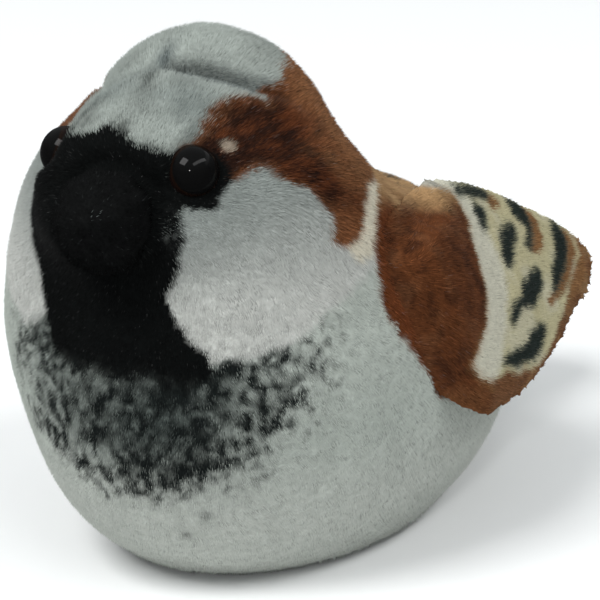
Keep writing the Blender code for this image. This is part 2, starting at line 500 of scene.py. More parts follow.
# painted shade: the darker grey where the forehead fold is pinched
PINCH_SHADE_GREY = (0.07, 0.088, 0.092)
CREAM = (0.50, 0.46, 0.285)
COLLAR = (0.60, 0.56, 0.45)
RUST = (0.172, 0.072, 0.031)
RUST_BACK = (0.228, 0.108, 0.048)
BAR_WHITE = (0.585, 0.57, 0.465)
SHOULDER_BROWN = (0.104, 0.035, 0.0125)
SHOULDER_LOW = (0.155, 0.065, 0.026)
SHOULDER_FRINGE = (0.25, 0.135, 0.055)
RIDGE_GREY = (0.34, 0.35, 0.31)
RIM_RUST = (0.15, 0.068, 0.03)
TIP_TAN = (0.31, 0.20, 0.10)
MARK_RUST = (0.21, 0.095, 0.034)
MARK_HALO = (0.13, 0.14, 0.10)
MARK_BLACK = (0.018, 0.025, 0.022)
TAIL_DARK = (0.075, 0.045, 0.03)
TAIL_PALE = (0.30, 0.20, 0.12)
TAIL_BLACK = (0.018, 0.018, 0.017)
BEAK_CLOTH = (0.0046, 0.005, 0.005)
BEAK_PILE = (0.0031, 0.0034, 0.0034)
BEAK_GREY = (0.025, 0.028, 0.028)
LINT = (0.10, 0.115, 0.11)

# %% [markdown]
# The edges of the patches, in millimetres. They could be painted on an image instead, but an outline stays
# sharp at any size, and both the cloth and the pile can look their colours up in it.

# %% Outlines of the patches
# Front view: height, then how far the black reaches to the bird's right and to its left.
MASK = (
    (81.6, 0.0, 0.0), (81.0, 0.9, 0.3), (80.2, 2.0, 2.2), (79.4, 5.0, 4.3), (78.8, 8.2, 6.0),
    (78.3, 10.5, 7.6), (77.8, 13.0, 9.9), (77.2, 14.6, 11.4), (74.0, 15.6, 12.0), (71.0, 17.0, 14.4),
    (68.5, 18.6, 13.4), (65.0, 19.0, 14.6), (61.0, 18.4, 13.8), (57.0, 17.1, 12.4), (54.0, 16.0, 12.1),
    (51.5, 14.8, 13.8), (48.5, 13.6, 16.0), (45.5, 12.5, 18.4), (43.3, 11.3, 19.8), (41.5, 7.5, 18.0),
    (38.0, 2.0, 13.0),
)
# Side view, (y, z).
BAND = (
    (-53.6, 77.3), (-52, 78.3), (-50.5, 79.1), (-47.5, 80.3), (-44.5, 81.7), (-42, 83.3), (-40.4, 84.1),
    (-39.2, 84), (-37.8, 82.7), (-36.6, 83), (-34.5, 83.8), (-32, 84.6), (-30, 85.7), (-28.6, 86.4),
    (-25, 86.9), (-18, 87.9), (-6, 86.4), (2, 76), (3, 64), (-6, 63), (-16, 67.5), (-25.6, 68.5),
    (-31.3, 66.7), (-34, 64), (-35.6, 62.5), (-38.9, 61.7), (-40, 63.2), (-38.4, 65.8), (-39.4, 68.2),
    (-40.3, 70.4), (-42.2, 72.2), (-44.4, 73.7), (-46.6, 73.3), (-48.9, 72.6), (-51.5, 75.5),
)
CHEEK = (
    (-56, 71), (-48, 75), (-42, 74), (-37, 68), (-33, 66), (-26, 70), (-22, 69), (-28, 62.5),
    (-34.5, 57.6), (-42.5, 52.8), (-48.5, 48.6), (-55.5, 45.2), (-58.5, 46.5), (-62, 56), (-60, 66),
)
# Lines down the forehead along which painted shade darkens the pile, as in a parting of the nap.
PARTING_SHADE_LINES = (((-1.3, -42.5, 86.2), (-0.9, -44.6, 84.9), (0.8, -48.4, 83.4), (2.9, -52.7, 81.6)),
                ((7.7, -42.5, 85), (7.4, -44, 83.4), (7.8, -47.2, 82.1), (8.3, -50.1, 80.9)))
COLLAR_LINE = ((-21, 70.2), (-28, 68), (-33, 64.6), (-36.2, 60))
WING_SEAM = (
    (-16, 69.4), (-24.8, 67), (-28.2, 65), (-31.2, 62.3), (-33.2, 59.5), (-34.4, 54), (-33.8, 50),
    (-31.6, 45.8), (-28.8, 41.8), (-25, 37.8), (-18, 32), (-14, 29),
)

MANTLE_LANE = 5.2  # the streaks of the back lie in lanes this wide
MANTLE_DASH = 13.0  # from the start of one streak to the next


# %% [markdown]
# The print goes on in layers, as on a printing table: grey grounds first, the black mask last. This cell
# holds the black itself, thin at one corner where the pile is worn, and the speckle on the breast, a smooth
# random field cut off at a level that rises towards the rim, so that it breaks up into single spots.

# %% Print the body
def black_mask(p):
    """The black of mask and bib, and the black ring round each eye."""
    heights, right, left = np.array(MASK)[::-1].T
    reach = np.where(p[:, 0] > 0, np.interp(p[:, 2], heights, left), np.interp(p[:, 2], heights, right))
    mask = 1 - ease(-0.5, 0.5, np.abs(p[:, 0]) - reach)
    mask *= ease(38.5, 43.0, p[:, 2] + 1.2 * wobble(p, 1.6, 9)) * ((p[:, 2] < 82.5) & (p[:, 1] < -40))
    ring = lengths(mirrored(p) - EYE_CENTRE - (0.1, 0.4, -0.6))
    return np.maximum(mask, 1 - ease(4.8, 5.4, ring))


def thin_ink(p):
    """Where the black pile is worn thin at the corner of the mask, and the white shows through."""
    place = lengths((p - (12.9, -57.5, 66.5)) / (2.2, 3, 3.4))
    return (1 - ease(0.4, 1.1, place)) * ease(0.0, 0.6, wobble(p, 0.6, 41))


def breast_spots(p):
    """The grey shade below the bib and the dark speckle on it, which breaks up into single spots."""
    x, y, z = p.T
    reach = np.hypot((x - 3.5) / np.where(x > 3.5, 29.5, 27.5), (46 - z) / 26)
    middle = np.exp(-(((x - 12) / 12) ** 2) - ((z - 34) / 11) ** 2)
    blotch = 0.65 * wobble(p, 1.15, 11) + 0.4 * wobble(p, 0.7, 12) + 0.25 * wobble(p, 4.5, 13)
    edge = 0.7 * ease(0.88, 1.12, reach) + ease(1.08, 1.2, reach)
    edge += 0.08 * ease(-12, -18, x) * ease(28, 34, z)
    ink = ease(-0.45, 0.55, blotch + 0.12 + 0.08 * ease(2, -8, x) - 0.1 * reach + 0.35 * middle - edge)
    for spot in ((24.5, -50, 24.9), (15.8, -54.2, 17.4), (11.8, -54, 13)):
        ink = np.maximum(ink, 0.8 * falloff(p, spot, 0.8))
    shade = 0.55 * (1 - ease(0.55, 1.0, reach)) + 0.38 * middle
    limit = (y < -20) * ease(54, 50, z) * (1 - ease(1.5, 1.6, reach))
    return limit * shade, limit * ink


# %% [markdown]
# The crown is grey, with painted shade in brushed streaks and along partings on the forehead, over the brow
# and in the fold across it. The band from eye to nape is chestnut with a dark middle and rusty edges, and
# the back has black dashes in lanes. Each is a function of the place on the bird, so it needs no picture
# and no flat layout.

# %% Crown, chestnut band and back
def below_ridge(p):
    """How far each point stands above the line of the wing's top, below 0 where it is lower."""
    return p[:, 2] - np.interp(p[:, 1], (-25, -2, 11), (70.3, 63.6, 60.1))


def print_crown(p, side):
    """Greys of the body and the crown, with painted shade in brushed streaks and partings on the forehead,
    over the brow, in the fold and at its pinch.
    """
    y, z = p[:, 1], p[:, 2]
    colour = lay(plain(BODY_GREY, p), BELLY_PALE, ease(34, 14, z))
    colour = lay(colour, CROWN_GREY, ease(70, 76, z))
    smudge = 0.8 * wobble(p, 5, 151) + 0.5 * wobble(p * (1, 0.6, 0.6), 2.5, 152)
    brushed_shade = wobble(p * (1, 0.5, 0.7), 3.4, 153) + 0.6 * wobble(p * (1, 0.4, 0.6), 1.3, 154)
    colour = colour * (1 + 0.14 * smudge * ease(72, 78, z) + 0.04 * smudge)[:, None]
    # painted shade: the front of the forehead is darkened in streaks, as brushed pile looks in the light
    front = ease(76, 80, z) * ease(-40, -45, y)
    # painted shade along the partings
    parting_shade = np.maximum(*[stroke(p, line, 4.6, 3.6) for line in PARTING_SHADE_LINES])
    colour = colour * (1 - front * (0.01 + 0.55 * ease(-0.15, 0.75, brushed_shade)) - 0.32 * parting_shade)[:, None]
    # painted shade: a darker patch on the brow above each eye
    brow_shade = np.exp(-(((side - (8, -46, 83)) / (8, 5, 4)) ** 2).sum(axis=1))
    colour = lay(colour, BROW_SHADE_GREY, 0.75 * brow_shade)
    fold, along = from_fold(p)
    # painted shade: the crease of the forehead fold is printed dark along its middle stretch
    colour = lay(colour, FOLD_SHADE_GREY, 0.9 * ease(0.2, 0.5, along) * np.exp(-((fold / 1.4) ** 2)))
    # painted shade in the pinch of the fold
    pinch_shade = np.exp(-(lengths((p - (-3.0, -38, 87.8)) / (1.5, 3.2, 2.2)) ** 2))
    return lay(colour, PINCH_SHADE_GREY, 0.85 * pinch_shade)


def print_band(p, ragged, side, colour):
    """The chestnut band from the eye to the nape, darker inside, rustier at its edges and on the back."""
    y, z = p[:, 1], p[:, 2]
    band = inside(side[:, 1:], BAND, 1.0) * ease(4.5, 5.5, side[:, 0])
    far = ease(0, 1.2, side[:, 0] - 19.4 + 0.45 * (side[:, 2] - 76))
    band *= np.maximum(ease(-1, 1, ragged[:, 0]), np.maximum(far, ease(-34, -32, y)))
    nape = ease(-22, -17, ragged[:, 1]) * ease(63, 67, ragged[:, 2]) * ease(86, 83, ragged[:, 2])
    band = np.maximum(band, nape)
    streak = 0.6 * wobble(p * (1, 0.35, 1.2), 1.5, 31) + 0.6 * wobble(p * (1, 0.3, 1.2), 0.6, 32)
    streak = ease(-0.1, 0.5, streak + 0.35 * ease(-30, -42, y))
    colour = lay(colour, CHESTNUT, band)
    colour = lay(colour, CHESTNUT_DARK, band * (0.3 + 0.7 * streak) * ease(62, 68, z) * ease(-14, -34, y))
    fringe = band * (1 - ease(0.5, 0.95, inside(side[:, 1:], BAND, 4.5))) * ease(-14, -30, y)
    colour = lay(colour, RUST, np.maximum(0.5 * fringe, 0.6 * band * ease(0, -3, ragged[:, 0]) * (y < -30)))
    colour = lay(colour, RUST, 0.75 * band * ease(70, 65, z) * ease(-30, -36, y))
    return lay(colour, RUST_BACK, 0.7 * band * ease(-38, -24, y + 4 * wobble(p, 4, 33)) * ease(60, 72, z))


def print_back(p, ragged, colour):
    """The mantle between the wings, brown with black streaks."""
    x, y, z = p.T
    lower = 47 + 0.35 * np.abs(x) + 2.5 * wobble(p * (1, 0.4, 0.4), 2.2, 50)
    mantle = ease(-22, -16, ragged[:, 1]) * ease(-1.5, 1.5, z - lower) * ease(68, 65, ragged[:, 2])
    colour = lay(colour, TAN, mantle)
    colour = lay(colour, CHESTNUT, 0.45 * mantle * ease(0, 0.5, wobble(p * (1, 0.25, 0.4), 2.4, 52)))
    lane = x / MANTLE_LANE + 0.35 * wobble(p, 7, 53)
    number = np.floor(lane)
    along = ((y - 0.9 * z) / MANTLE_DASH + 0.37 * number) % 1 - 0.5
    half = 1.35 * np.sqrt(np.clip(1 - (along / 0.4) ** 2, 0, 1))
    streak = ease(0.5, -0.5, np.abs(lane - number - 0.5) * MANTLE_LANE + 0.5 * wobble(p, 1.5, 51) - half)
    return lay(colour, INK_SOFT, mantle * streak * ease(14, 11, np.abs(x)))


# %% [markdown]
# One function lays all of them over each other. Its edges are made ragged by shifting each point a little
# at random before its place is looked up, because pile never shows a clean edge.

# %% All layers of the body in order
def print_body(p):
    """The colour of the printed cloth at each point, in millimetres."""
    y, z = p[:, 1], p[:, 2]
    ragged = p + 0.55 * wobbles(p, 1.6, 21) + 0.9 * wobbles(p, 5.0, 24)
    side = mirrored(ragged)
    chart = side[:, 1:]
    colour = print_crown(p, side)
    cheek = inside(chart, CHEEK, 1.2) * (side[:, 0] > 6)
    cheek_shade = lay(np.array(CHEEK_GREY), CHEEK_WHITE, ease(72, 50, z - 0.3 * (y + 50)))
    colour = lay(colour, cheek_shade, cheek)
    colour = lay(colour, COLLAR, stroke(chart, COLLAR_LINE, 7.0, 1.2) * (side[:, 0] > 15))
    shade, spots = breast_spots(p)
    colour = lay(colour, BREAST_SHADE, shade * (1 - cheek * 0.9))
    colour = lay(colour, BREAST_INK, spots * (1 - cheek * 0.9))
    colour = print_band(p, ragged, side, colour)
    spot = lengths((side - (14.8, -46.4, 77.5)) / (2.6, 1.3, 1.15))
    colour = lay(colour, BUFF, 0.75 * (1 - ease(0.5, 1.2, spot)))
    seam = ease(-0.6, 0.6, chart[:, 0] - edge_at(WING_SEAM, chart[:, 1])) * ease(6, 0, y)
    seam = seam * ease(20, 23, side[:, 0]) * ease(29, 31, z) * ease(70, 69, z)
    colour = lay(colour, CHESTNUT, seam)
    colour = lay(colour, TAN, 0.9 * seam * ease(-6.5, -1.5, below_ridge(p)))
    colour = print_back(p, ragged, colour)
    return lay(colour, INK_BLACK, black_mask(ragged) * (1 - 0.36 * thin_ink(p)))


body_print = print_body(places(body_mesh)[0])
print("mean dye of the body:", body_print.mean(axis=0).round(3))

# %% [markdown]
# ## Plush as a material
# Three things make cloth read as plush: the print, small changes of shade from hair to hair, and a soft
# bright edge where the pile catches the light. The print comes in as an attribute of the mesh, the hair by
# hair change from a stretched noise, and the bright edge from the shader's sheen.

# %% Plush shader
def hair_shade_group():
    """Varies a dye from hair to hair, and gives a height for the bump."""
    group = bpy.data.node_groups.new("hair_shade", "ShaderNodeTree")
    for name, way, kind in (("Dye", "IN", "Color"), ("Amount", "IN", "Float"), ("Scale", "IN", "Float"),
                            ("Colour", "OUT", "Color"), ("Height", "OUT", "Float")):
        group.interface.new_socket(name, in_out=way + "PUT", socket_type="NodeSocket" + kind)
    enter, leave = group.nodes.new("NodeGroupInput").outputs, group.nodes.new("NodeGroupOutput").inputs
    place = put(group, "TexCoord").outputs["Object"]
    noise = put(group, "TexNoise", Detail=3)
    ramp = put(group, "MapRange", From_Min=0.3, From_Max=0.7)
    shade = put(group, "VectorMath", "SCALE")
    for kind, end in (("SUBTRACT", "To Min"), ("ADD", "To Max")):
        limit = put(group, "Math", kind)
        limit.inputs[0].default_value = 1
        join(group, (enter["Amount"], limit.inputs[1]), (limit.outputs[0], ramp.inputs[end]))
    join(group, (place, noise.inputs["Vector"]), (enter["Scale"], noise.inputs["Scale"]),
         (noise.outputs["Fac"], ramp.inputs["Value"]), (enter["Dye"], shade.inputs[0]),
         (ramp.outputs["Result"], shade.inputs["Scale"]), (shade.outputs["Vector"], leave["Colour"]),
         (noise.outputs["Fac"], leave["Height"]))
    return group


HAIR_SHADE = hair_shade_group()


def plush(name, amount, scale, sheen, roughness, bump=0.0):
    """A plush material that takes its dye from the mesh's print attribute."""
    material, tree, shader = new_material(name)
    dye = put(tree, "Attribute")
    dye.attribute_name = "print"
    hair = put(tree, "Group")
    hair.node_tree = HAIR_SHADE
    set_inputs(hair, {"Amount": amount, "Scale": scale})
    join(tree, (dye.outputs["Color"], hair.inputs["Dye"]),
         (hair.outputs["Colour"], shader.inputs["Base Color"]))
    set_inputs(shader, {"Roughness": roughness, "Specular IOR Level": 0.04, "Sheen Weight": sheen,
                        "Sheen Roughness": 0.45})
    if bump:
        dent = put(tree, "Bump", Strength=bump, Distance=0.0006)
        join(tree, (hair.outputs["Height"], dent.inputs["Height"]),
             (dent.outputs["Normal"], shader.inputs["Normal"]))
    return material


pile_plush = plush("pile_plush", 0.10, 900, 0.02, 0.9)
base_plush = plush("base_plush", 0.25, 700, 0.0, 0.95, bump=0.8)
black_pile = plush("black_pile", 0.35, 900, 0.0, 0.8)
UNDER_PILE = 0.8  # the cloth under the pile lies in shade, so its dyes are printed this much darker


def store_print(mesh, colours):
    """Keeps one dye for each vertex in the mesh."""
    held = mesh.attributes.new("print", "FLOAT_COLOR", "POINT")
    write(held.data, "color", np.column_stack([colours, np.ones(len(colours))]))


def unwrap(obj):
    """Lays the cloth out flat, so that each tuft can find its own place on it."""
    bpy.context.view_layer.objects.active = obj
    obj.select_set(True)
    obj.data.uv_layers.new(name="OFBake")
    bpy.ops.object.mode_set(mode="EDIT")
    bpy.ops.mesh.select_all(action="SELECT")
    bpy.ops.uv.smart_project(angle_limit=math.radians(60), island_margin=0.004)
    bpy.ops.object.mode_set(mode="OBJECT")
    obj.select_set(False)


def finish_cloth(obj, colours, material, replaced):
    """Print, material, layout and what the piece stands for, the same for every piece of cloth."""
    store_print(obj.data, colours * UNDER_PILE)
    obj.data.materials.append(material)
    obj.data.shade_smooth()
    unwrap(obj)
    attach(obj, "root")
    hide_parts(*replaced)
    print(obj.name, len(obj.data.polygons), "faces")


finish_cloth(body, body_print, base_plush, ["head", "trunk"])

# %% [markdown]
# ## Wings
# Each wing is a flat bag of the same plush, sewn on at the shoulder. The print is one pattern in side view:
# a chestnut shoulder, a white bar, and a cream field with black feather marks that have rusty edges.

# %% Wing print
WING_FRONT = (
    (-4, 67), (-18, 66), (-27, 64.5), (-34.5, 60.5), (-35.6, 56), (-34.6, 52), (-31.8, 46), (-27.9, 40),
    (-24.5, 35), (-23, 31), (-22, 26),
)
SHOULDER_EDGE = (
    (-1, 64), (1.2, 61.5), (3.6, 59.6), (3.8, 57.3), (2.9, 55.2), (-0.9, 54), (-3.4, 52), (-4.6, 50),
    (-5, 48.6), (-5.2, 47), (-6.6, 45.2), (-8.6, 43), (-12, 41.4), (-15.9, 38.9), (-15.9, 37.5),
    (-13.6, 35.4), (-12.3, 34), (-10, 32.7), (-9, 31),
)
BAR_EDGE = (
    (6.5, 62), (8.3, 59.7), (9.6, 56.8), (9.6, 53.8), (8.6, 49.1), (5.4, 43.7), (1.1, 40.1), (-2.6, 37),
    (-5.2, 34.2), (-12, 30.5),
)
RIM_EDGE = (
    (-22, 39), (-13.6, 34.4), (-11, 33.2), (-2.9, 31.9), (3.6, 30.3), (12.3, 28.5), (19, 28.7),
    (24.3, 29.7), (27.2, 31.2), (31.3, 32), (37.2, 32), (41.5, 33), (46, 33.8), (48.8, 36.6), (53, 41),
)
BLACK_MARKS = (
    ((6.6, 60.8), (12.6, 59.3), (17, 57.5), (18.6, 56.3), (16.8, 55.7), (14.6, 56.6), (10.7, 58),
     (8.3, 59.3), (5.7, 60.1)),
    ((10.5, 56.8), (12, 55.6), (13, 54), (10.5, 52.9), (8.5, 52.8), (8.3, 53.6), (8.9, 54.6), (8.6, 55.8)),
    ((21.6, 50.6), (23.2, 49.5), (21.6, 48.4), (18.2, 47.7), (14.6, 46.7), (10.7, 46.4), (10.2, 47.6),
     (11.9, 49), (16.3, 50.5)),
    ((25.8, 53.5), (30, 51.7), (31.3, 50), (31, 48.2), (28.7, 46.2), (25.4, 45), (23.4, 45.8),
     (26.8, 46.9), (28, 48), (26.5, 50.1), (25.3, 51.9)),
    ((41.4, 45.4), (44, 43.8), (43.3, 41.9), (41.6, 40.2), (37.7, 38.4), (32.4, 37.1), (28.5, 36.9),
     (29.8, 38.6), (33, 40.6), (36.8, 42), (38, 44)),
    ((21.9, 42.7), (25, 41.5), (24.8, 40.1), (21, 38.7), (16.9, 38), (9.6, 39.1), (4.8, 38.6), (3.2, 39.2),
     (6, 40.6), (11.4, 41), (14.5, 42)),
    ((17.4, 34.2), (20, 32.9), (17.4, 31.4), (12.9, 30.4), (6, 31.1), (-1.5, 32.9), (-3.4, 34),
     (-0.1, 34.3), (3.4, 34.3), (9.1, 33.8), (11.6, 34.5)),
)
RUSTY_MARKS = (
    ((18, 56.4), (21.3, 54.6), (21, 53.7), (17, 54.5), (16.6, 55.6)),
    ((31.7, 50.5), (33.9, 49.2), (33.6, 47.3), (33.2, 45.3), (30.8, 43.8), (27, 44.2), (24.4, 45.3),
     (27.9, 46.8), (30, 48.5)),
    ((45.2, 43.1), (46.4, 41.6), (45.7, 39.8), (43.3, 37.9), (37.8, 36.2), (29.7, 35.2), (24.8, 36.2),
     (28, 37), (33.5, 37.4), (38.6, 39.2), (41.3, 41.4)),
    ((53, 41), (50, 39.5), (45.5, 37.6), (42, 36.3), (37.5, 35), (33, 31), (52, 31)),
)


def print_shoulder(p):
    """Brown with darker and rustier strokes, paler along the top of the wing."""
    strokes = p * (1, 0.6, 1)
    brown = lay(plain(SHOULDER_BROWN, p), CHESTNUT_DARK, 0.55 * ease(0, 0.6, wobble(strokes, 1.5, 73)))
    brown = lay(brown, RUST, 0.35 * ease(0.1, 0.6, wobble(strokes, 2.2, 74)))
    brown = lay(brown, SHOULDER_LOW, 0.6 * ease(35, 31, p[:, 2]))
    ridge = below_ridge(p)
    brown = lay(brown, TAN, 0.9 * ease(-6.5, -1.5, ridge + 1.2 * wobble(p, 5, 72)))
    return lay(brown, RIDGE_GREY, 0.85 * ease(-1.9, -0.9, ridge) * ease(-16, -10, p[:, 1]))


def print_wing(p):
    """The colour of a wing's cloth at each point, on the same flat side view for both wings."""
    ragged = p + 0.35 * wobbles(p, 1.2, 61) + 0.5 * wobbles(p, 4.0, 64)
    chart = mirrored(ragged)[:, 1:]
    back, up = chart.T
    colour = lay(plain(CREAM, p), BAR_WHITE, 0.4 * ease(-0.2, 0.5, wobble(p, 3.5, 71)))
    colour = lay(colour, TIP_TAN, 0.75 * ease(44, 50, back))
    colour = lay(colour, BAR_WHITE, ease(2.5, -1.5, back - edge_at(BAR_EDGE, up)))
    for outline in RUSTY_MARKS:
        colour = lay(colour, MARK_RUST, 0.95 * ease(0, 0.7, inside(chart, outline, 2.0)))
    for outline in BLACK_MARKS:
        black = inside(chart, outline, 3.0)
        colour = lay(colour, MARK_HALO, 0.7 * ease(0, 0.5, black))
        colour = lay(colour, MARK_BLACK, ease(0.2, 0.75, black))
    rim = lay(plain(RIM_RUST, p), TAN, 0.45 * ease(0, 0.5, wobble(p, 2.4, 75)) * ease(0, 14, back))
    colour = lay(colour, rim, ease(0.7, -0.7, up - edge_at(RIM_EDGE, back, read=1)))
    colour = lay(colour, print_shoulder(p), ease(0.6, -0.6, back - edge_at(SHOULDER_EDGE, up)))
    return lay(colour, SHOULDER_FRINGE, 0.5 * stroke(chart, SHOULDER_EDGE, 1.8, 1.8) * ease(63, 59, up))


# %% [markdown]
# A wing could be bent with a lattice or by hand. Here its cloth is a copy of the solid's skin, pushed out
# where the stuffing fills it and drawn onto the body along its front edge, where it is sewn. For each point
# there, a search tree finds the nearest place on the body.

# %% Sew both wings
def tree_of(*objects):
    """One search tree over the surfaces of several pieces."""
    shape = bmesh.new()
    for obj in objects:
        shape.from_mesh(obj.data)
    tree = BVHTree.FromBMesh(shape)
    shape.free()
    return tree


body_tree = tree_of(body)


def outline_of(made, p):
    """The lowest and highest z of a cloth's points at the y of each p, and the slope of its lower edge."""
    rows = np.arange(math.ceil(made[:, 1].min()), made[:, 1].max() - 0.5)
    heights = [made[np.abs(made[:, 1] - row) < 1][:, 2] for row in rows]
    lows = np.array([row.min() for row in heights])
    highs = np.array([row.max() for row in heights])
    return [np.interp(p[:, 1], rows, values) for values in (lows, highs, np.gradient(lows))]


# Where the stuffing pushes a wing out of its flat outline: y, z, reach along y and along z, and how far
# the cloth moves back and down.
WING_BULGES = (
    (-9, 27, 8, 4.5, -0.9, 1.0), (49, 36, 9, 6, 1.2, 0.3), (46, 32, 6, 3.5, 2.0, 0.7),
    (32, 29, 11, 4, 0.4, 1.1), (5, 27.5, 8, 4, 0, 0.6), (30, 52, 18, 6, 0, 0.7),
)
SEAM_PRESS = 0.06  # at the seam a wing keeps this share of its distance from the body


def press_to_body(p, full):
    """Draws a wing's points to the body where full is below 1, as the seam does."""
    for index in np.flatnonzero(full < 0.999):
        foot, way = body_tree.find_nearest(Vector(p[index] * MM))[:2]
        foot, way = np.array(foot) / MM, np.array(way)
        away = p[index] - foot
        drawn = 1 - full[index]
        if away @ way > -0.2:
            p[index] = foot + away * (SEAM_PRESS + (1 - SEAM_PRESS) * full[index]) - way * 0.25 * drawn
        p[index, 1] += 1.6 * drawn * ease(42, 48, p[index, 2]) * ease(66, 62, p[index, 2])


def make_wing(name, node):
    """A wing from its solid: drawn in by the pile, bulged by its stuffing and pressed on along its seam."""
    mesh = sewn_mesh(name, [node], 0.65, 6)
    p, n = places(mesh)
    rim = ease(0.8, 0.4, np.abs(n[:, 0]))
    p = p - n * ((WING_PILE_DEPTH + 0.25 * wobble(p, 9, 81)) * (1 - 1.1 * rim))[:, None]
    for y, z, reach, height, back, down in WING_BULGES:
        bulge = np.exp(-(((p[:, 1] - y) / reach) ** 2) - ((p[:, 2] - z) / height) ** 2)
        p = p + bulge[:, None] * (0, back, -down)
    behind = p[:, 1] - edge_at(WING_FRONT, p[:, 2])
    full = ease(0, 1, behind / (13 + 9 * ease(57, 63, p[:, 2])))
    below_top = outline_of(p, p)[1] - p[:, 2]
    full *= 1 - ease(-3, -9, p[:, 1]) * ease(6, 2, below_top)
    press_to_body(p, full)
    free = ease(0.85, 1, full)[:, None]
    put_back(mesh, smooth(mesh, p, 1) * free + smooth(mesh, p, 5) * (1 - free))
    wing = link(name, mesh)
    finish_cloth(wing, print_wing(places(mesh)[0]), base_plush, [node])
    return wing


wing_left = make_wing("wing_cloth_left", "wing_left")
wing_right = make_wing("wing_cloth_right", "wing_right")

# %% [markdown]
# ## Tail
# The tail is a short stuffed tab, sewn to the rump: dark feathers with pale edges above, plain grey below.

# %% Tail print and cloth
TAIL_WIDTH = 28
TAIL_FEATHERS = 6


def print_tail(p, facing_up):
    """Dark feathers with pale edges above, and the body's grey below."""
    ragged = p + 0.4 * wobbles(p, 1.3, 91)
    vane = np.abs(((ragged[:, 0] / TAIL_WIDTH + 0.5) * TAIL_FEATHERS) % 1 - 0.5)
    colour = lay(plain(TAIL_DARK, p), TAIL_PALE, ease(0.32, 0.48, vane))
    colour = lay(colour, TAIL_BLACK, 0.8 * (1 - ease(0.02, 0.10, vane)))
    colour = lay(colour, TAN, ease(46, 38, ragged[:, 1]) * 0.5)
    return lay(colour, BODY_GREY, (facing_up < -0.2).astype(float))


tail_mesh = sewn_mesh("tail_cloth", ["tail"], 0.7, 8, shift=(0, -1.6, 0))
p, n = places(tail_mesh)
put_back(tail_mesh, p - n * WING_PILE_DEPTH)
tail = link("tail_cloth", tail_mesh)
p, n = places(tail_mesh)
finish_cloth(tail, print_tail(p, n[:, 2]), base_plush, ["tail"])

# %% [markdown]
# ## Beak
# The beak is a stuffed cone of black plush with a much shorter pile. Its cloth is gathered at the root,
# which leaves faint folds that run from the face towards the tip.

# %% Beak cloth
BEAK_AXIS = np.array(direction(20, 14))


def make_beak():
    mesh = sewn_mesh("beak_cloth", ["beak"], 0.45, 8, shift=-0.8 * BEAK_AXIS)
    p, n = places(mesh)
    spoke = p - BEAK_CENTRE
    along = spoke @ BEAK_AXIS
    up = np.cross(BEAK_AXIS, (1, 0, 0))
    side = np.cross(up, BEAK_AXIS)
    angle = np.arctan2(spoke @ up, spoke @ side)
    folds = 0.16 * np.sin(angle * 9 + 2.5 * wobble(p, 8, 101)) * ease(9, 1, along)
    put_back(mesh, p - n * (0.55 + folds + 0.15 * wobble(p, 4, 102))[:, None])
    beak = link("beak_cloth", mesh)
    p = places(mesh)[0]
    colours = plain(BEAK_CLOTH, p) * (1 + 0.25 * wobble(p, 2.5, 103))[:, None]
    finish_cloth(beak, colours, base_plush, ["beak"])
    return beak


beak = make_beak()

# %% [markdown]
# ## Eyes
# Toy eyes are moulded domes of clear plastic over a painted disc: a black pupil with a thin ring of dark
# brown, seen through the gloss.

# %% Eye domes
EYE_AXIS = np.array(Vector((0.75, -0.56, 0.35)).normalized())
EYE_RADIUS = 4.3
EYE_STANDS_OUT = 3.3
EYE_BACK = -1.2  # the dome is cut flat this far behind its middle
EYE_BALL = EYE_CENTRE + EYE_AXIS * (EYE_STANDS_OUT - EYE_RADIUS)
PUPIL = (0.003, 0.003, 0.003)


def eye_material():
    material, tree, shader = new_material("eye_gloss")
    ring = put(tree, "Attribute")
    ring.attribute_name = "ring"
    ramp = put(tree, "ValToRGB")
    fill_ramp(ramp, (0.0, PUPIL), (0.86, PUPIL), (0.90, (0.008, 0.004, 0.0025)),
              (0.95, (0.006, 0.0035, 0.003)), (1.0, (0.008, 0.004, 0.003)))
    join(tree, (ring.outputs["Fac"], ramp.inputs["Fac"]),
         (ramp.outputs["Color"], shader.inputs["Base Color"]))
    set_inputs(shader, {"Roughness": 0.3, "Specular IOR Level": 0.0, "Coat Weight": 1.0, "Coat IOR": 1.16,
                        "Coat Roughness": 0.05})
    return material


eye_gloss = eye_material()


def make_eye(name, node, side, shift):
    """One dome, made for the left side and mirrored when side is -1, moved by so many millimetres."""
    shape = bmesh.new()
    bmesh.ops.create_uvsphere(shape, u_segments=64, v_segments=40, radius=EYE_RADIUS)
    bmesh.ops.bisect_plane(shape, geom=[*shape.verts, *shape.edges, *shape.faces],
                           plane_co=(0, 0, EYE_BACK), plane_no=(0, 0, -1), clear_outer=True)
    rim = [edge for edge in shape.edges if edge.is_boundary]
    bmesh.ops.edgeloop_fill(shape, edges=rim)
    turn = Vector(EYE_AXIS).to_track_quat("Z", "Y").to_matrix().to_4x4()
    for vert in shape.verts:
        vert.co.z *= 0.96
    bmesh.ops.transform(shape, matrix=turn, verts=shape.verts)
    bmesh.ops.translate(shape, vec=Vector(EYE_BALL + shift), verts=shape.verts)
    bmesh.ops.scale(shape, vec=(side * MM, MM, MM), verts=shape.verts)
    bmesh.ops.recalc_face_normals(shape, faces=shape.faces)
    mesh = as_mesh(name, shape)
    p = mirrored(places(mesh)[0]) - EYE_BALL - shift
    out = lengths(p - (p @ EYE_AXIS)[:, None] * EYE_AXIS) / EYE_RADIUS
    write(mesh.attributes.new("ring", "FLOAT", "POINT").data, "value", out)
    mesh.materials.append(eye_gloss)
    mesh.shade_smooth()
    eye = link(name, mesh)
    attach(eye, "root")
    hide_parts(node)
    return eye


eye_left = make_eye("eye_dome_left", "eye_left", 1, (-0.5, 0.1, 0.2))
eye_right = make_eye("eye_dome_right", "eye_right", -1, (0.1, 0, -0.3))

